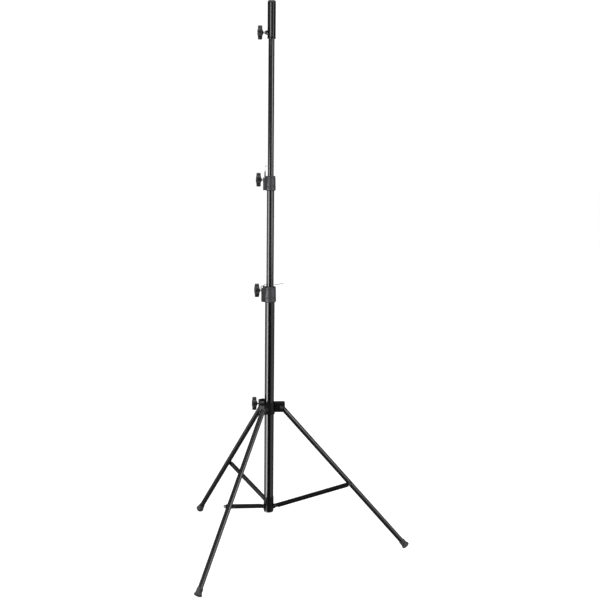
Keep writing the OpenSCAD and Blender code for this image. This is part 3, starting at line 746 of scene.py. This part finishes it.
def makeBrace(letter, azimuth):
    turn = Matrix.Rotation(math.radians(azimuth), 4, "Z")
    low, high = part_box("brace_c")
    length = (legRivet - bracePivot).length / mm
    half = (along("brace_c", braceAlong)[1] - legRivet.dot(braceAlong)) / mm
    outerFace, tips = high.y / mm, low.y / mm
    flange = braceLook["flangeStart"]
    bm = bmesh.new()
    outline = channelOutline(length, half, flange)
    bm.faces.new([bm.verts.new((x * mm, outerFace * mm, z * mm)) for x, z in outline])
    bm.edges.ensure_lookup_table()
    sides = [e for e in bm.edges if abs(e.verts[0].co.z - e.verts[1].co.z) > length * 0.5 * mm]
    made = bmesh.ops.extrude_edge_only(bm, edges=sides)["geom"]
    lowered = [g for g in made if isinstance(g, bmesh.types.BMVert)]
    bmesh.ops.translate(bm, vec=(0, (tips - outerFace) * mm, 0), verts=lowered)
    roundOff(bm, sides, braceLook["bend"] * mm, 4)
    bmesh.ops.recalc_face_normals(bm, faces=bm.faces)
    if sum(f.normal.y * f.calc_area() for f in bm.faces) < 0:
        bmesh.ops.reverse_faces(bm, faces=bm.faces)
    bmesh.ops.solidify(bm, geom=bm.faces[:], thickness=braceLook["sheet"] * mm)
    bmesh.ops.transform(bm, matrix=turn @ bracePlace, verts=bm.verts)
    piece("braceChannel_" + letter, bm, "brace_" + letter, "leg_paint", "brace_" + letter)
    headLow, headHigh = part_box("brace_rivet_c")
    tip = -headLow.y / mm
    face = tip - braceLook["capNut"]
    bm = bmesh.new()
    head = turn @ placed(-sideways, upward, legRivet)
    foot = -headHigh.y / mm
    addTurned(bm, [(0, foot), (3, foot), (3, face), (7.5, face), (7.5, face + 1.2), (6.8, face + 1.8),
                   (6.8, tip - 5), (6.2, tip - 2.4), (4.4, tip - 0.7), (2, tip),
                   (0, tip)], head, 0.5, steps=40)
    piece("braceRivet_" + letter, bm, "brace_" + letter, "black_steel", "brace_rivet_" + letter)


for letter, azimuth in legAzimuths.items():
    makeLeg(letter, azimuth)
    makeBrace(letter, azimuth)
print("legs and braces made")

# foot of the column

footOfColumn = {"pinRadius": 3.0, "headRadius": 5.5}


def makeColumnFoot():
    low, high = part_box("base_plug")
    r = tubeRadius("base_tube") / mm
    h = (high.z - low.z) / mm
    bm = bmesh.new()
    addTurned(bm, [(0, 0), (r - 5, 0), (r - 1.6, 0.8), (r - 0.2, 2.4), (r, 4), (r - 1.7, 4.2),
                   (r - 1.7, h), (0, h)], Matrix.Translation(low), 0.8, steps=80)
    bmesh.ops.translate(bm, vec=(-low.x, -low.y, 0), verts=bm.verts)
    piece("columnPlug", bm, "column", "trim_plastic", "base_plug")
    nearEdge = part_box("brace_c")[1].y / mm
    bm = bmesh.new()
    for azimuth in legAzimuths.values():
        pin = Matrix.Rotation(math.radians(azimuth), 4, "Z") @ placed(-sideways, upward, bracePivot)
        web, ear = -nearEdge + braceLook["sheet"], -nearEdge - 3.4
        head, pinRadius = footOfColumn["headRadius"], footOfColumn["pinRadius"]
        addTurned(bm, [(0, ear - 2), (2.4, ear - 1.9), (4.4, ear - 1.4), (head, ear - 0.5), (head, ear),
                       (pinRadius, ear), (pinRadius, web + 0.3), (head, web + 0.3), (head, web + 0.9),
                       (4.4, web + 1.8), (2.4, web + 2.25), (0, web + 2.3)], pin, 0.4, steps=40)
    piece("bracePins", bm, "column", "black_steel", "brace_pins")


makeColumnFoot()

# pole adapter

adapterLook = {"lip": 1.2, "bossFoot": 11.0, "bossEnd": 6.9}


def makeAdapter():
    low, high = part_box("adapter_tube")
    r = (high.y - low.y) / 2 / mm - adapterLook["lip"]
    h = (high.z - low.z) / mm
    inner = tubeRadius("adapter_liner") / mm
    lip = adapterLook["lip"]
    bm = bmesh.new()
    addTurned(bm, [(inner, 1), (inner + 1, 0), (r + lip - 0.6, 0), (r + lip, 0.8), (r + lip, 3.6),
                   (r, 6.6), (r, h), (inner, h)],
              Matrix.Translation((0, 0, low.z)), 0.8, closed=True, steps=96)
    outward = knobAxis("adapter_knob")[0]
    far = along("adapter_tube", outward)[1] / mm
    foot, tip = adapterLook["bossFoot"], adapterLook["bossEnd"]
    addTurned(bm, [(0, r - 3), (foot + 1.5, r - 2.6), (foot - 1, r + 2), (foot - 2.4, r + 5),
                   (tip + 0.6, far - 2), (tip, far - 0.6), (tip - 0.8, far), (4.6, far),
                   (4, far - 1), (0, far - 1)],
              knobPlace("adapter_knob"), 1.2)
    piece("adapterBarrel", bm, "adapter", "column_paint", "adapter_tube")
    capLow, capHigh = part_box("adapter_cap")
    rim = (capHigh.y - capLow.y) / 2 / mm
    top = (capHigh.z - low.z) / mm
    bm = bmesh.new()
    addTurned(bm, [(inner - 2.5, h - 12), (inner - 0.1, h - 12), (inner - 0.1, h), (rim - 0.3, h),
                   (rim, h + 0.8), (rim, h + 5), (rim - 1.6, h + 6.4), (rim - 4, top - 1.2),
                   (rim - 8.5, top), (0, top), (0, h - 2), (inner - 2.5, h - 2)],
              Matrix.Translation((0, 0, low.z)), 0.9, steps=96)
    piece("adapterCap", bm, "adapter", "trim_plastic", "adapter_cap")


makeAdapter()
print("adapter made")

# safety clips, their socket and the tether

tetherLook = {"inset": 4.5, "drop": 3.0, "size": 6.5}
wireLook = {"radius": 1.5, "bend": 5.0, "waveStart": 25.0, "waveLength": 35.0, "waveHeight": 2.8}


def wire(name, points, radius, body, slot, *nodes):
    # a round wire along a list of points in metres, made a mesh with closed ends
    curve = bpy.data.curves.new(name, "CURVE")
    curve.dimensions = "3D"
    curve.bevel_depth = radius
    curve.bevel_resolution = 5
    curve.use_fill_caps = True
    line = curve.splines.new("POLY")
    line.points.add(len(points) - 1)
    for spot, point in zip(line.points, points):
        spot.co = (*point, 1.0)
    holder = bpy.data.objects.new(name + "Line", curve)
    bpy.context.scene.collection.objects.link(holder)
    mesh = bpy.data.meshes.new_from_object(holder.evaluated_get(bpy.context.evaluated_depsgraph_get()))
    bm = bmesh.new()
    bm.from_mesh(mesh)
    bpy.data.objects.remove(holder)
    return piece(name, bm, body, slot, *nodes, crease=50)


def clipPlace(name):
    # a clip's pin is its joint's place, and its arm lies across the knob's direction
    return Vector(joints[name + "_swing"]["pos_m"])


def makeClips():
    for name, knob in (("upper_clip", "upper_knob"), ("lower_clip", "lower_knob")):
        outward = knobAxis(knob)[0]
        pin = clipPlace(name)
        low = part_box(name)[0]
        bend, radius = wireLook["bend"] * mm, wireLook["radius"] * mm
        top = along(name, upward)[1] - radius
        if name == "lower_clip":
            top -= wireLook["waveHeight"] * mm
        foot = Vector((pin.x, pin.y, low.z))
        across = -outward
        points = [foot, Vector((pin.x, pin.y, top - bend))]
        for angle in range(15, 91, 15):
            a = math.radians(angle)
            points.append(Vector((pin.x, pin.y, top - bend)) + across * bend * (1 - math.cos(a))
                          + upward * bend * math.sin(a))
        pinReach = pin.dot(across)
        far = -along(name, outward)[0]
        if name == "lower_clip":
            first, length = wireLook["waveStart"] * mm, wireLook["waveLength"] * mm
            for i in range(29):
                x = (far - first) * i / 28 + first
                lift = -wireLook["waveHeight"] * mm * math.sin(2 * math.pi * (x - first) / length)
                points.append(Vector((pin.x, pin.y, top)) + across * (x - pinReach) + upward * lift)
        else:
            points.append(Vector((pin.x, pin.y, top)) + across * (far - pinReach))
        wire(name.replace("_clip", "ClipWire"), points, radius, name, "zinc", name)


def makeTether():
    # a loop moulded into the clamp block's outer corner, and the eye that holds the lower clip
    outward = knobAxis("lower_knob")[0]
    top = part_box("lower_collar")[1].z
    face = along("lower_collar", outward)[1]
    centre = outward * (face - tetherLook["inset"] * mm) + upward * (top - tetherLook["drop"] * mm)
    size = tetherLook["size"] * mm
    loop = []
    for angle in range(-60, 201, 10):
        a = math.radians(angle)
        loop.append(centre + outward * size * math.cos(a) + upward * size * math.sin(a))
    radius = wireLook["radius"] * mm
    wire("tetherLoop", loop, radius, "column", "trim_plastic", "lower_tether")
    pin = clipPlace("lower_clip")
    bm = bmesh.new()
    stem = Matrix.Translation((pin.x, pin.y, top))
    addTurned(bm, [(0, -9), (2.6, -9), (3.1, -8.4), (3.1, 1.9), (2.6, 2.5), (1.6, 2.5), (1.6, 0),
                   (0, 0)], stem, 0.3)
    side = placed(upward, outward, (pin.x, pin.y, top))
    addBlock(bm, (-3, -8, -9), (3, 0, -4), 0.6, side)
    piece("clipEye", bm, "column", "trim_plastic")


def makeSocket():
    pin = clipPlace("upper_clip")
    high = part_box("upper_socket")[1]
    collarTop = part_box("upper_collar")[1].z
    h = (high.z - collarTop) / mm
    bm = bmesh.new()
    stem = Matrix.Translation((pin.x, pin.y, collarTop))
    addTurned(bm, [(0, -12), (2.6, -12), (3.1, -11.4), (3.1, 1), (2.9, 8), (2.4, h - 1), (2.1, h),
                   (1.6, h), (1.6, h - 3), (0, h - 3)], stem, 0.4)
    outward = knobAxis("upper_knob")[0]
    side = placed(upward, outward, (pin.x, pin.y, collarTop))
    addBlock(bm, (-3, -6, -12), (3, 0, -4), 0.6, side)
    piece("clipSocket", bm, "mid", "trim_plastic", "upper_socket")


makeClips()
makeTether()
makeSocket()
print("clips made")
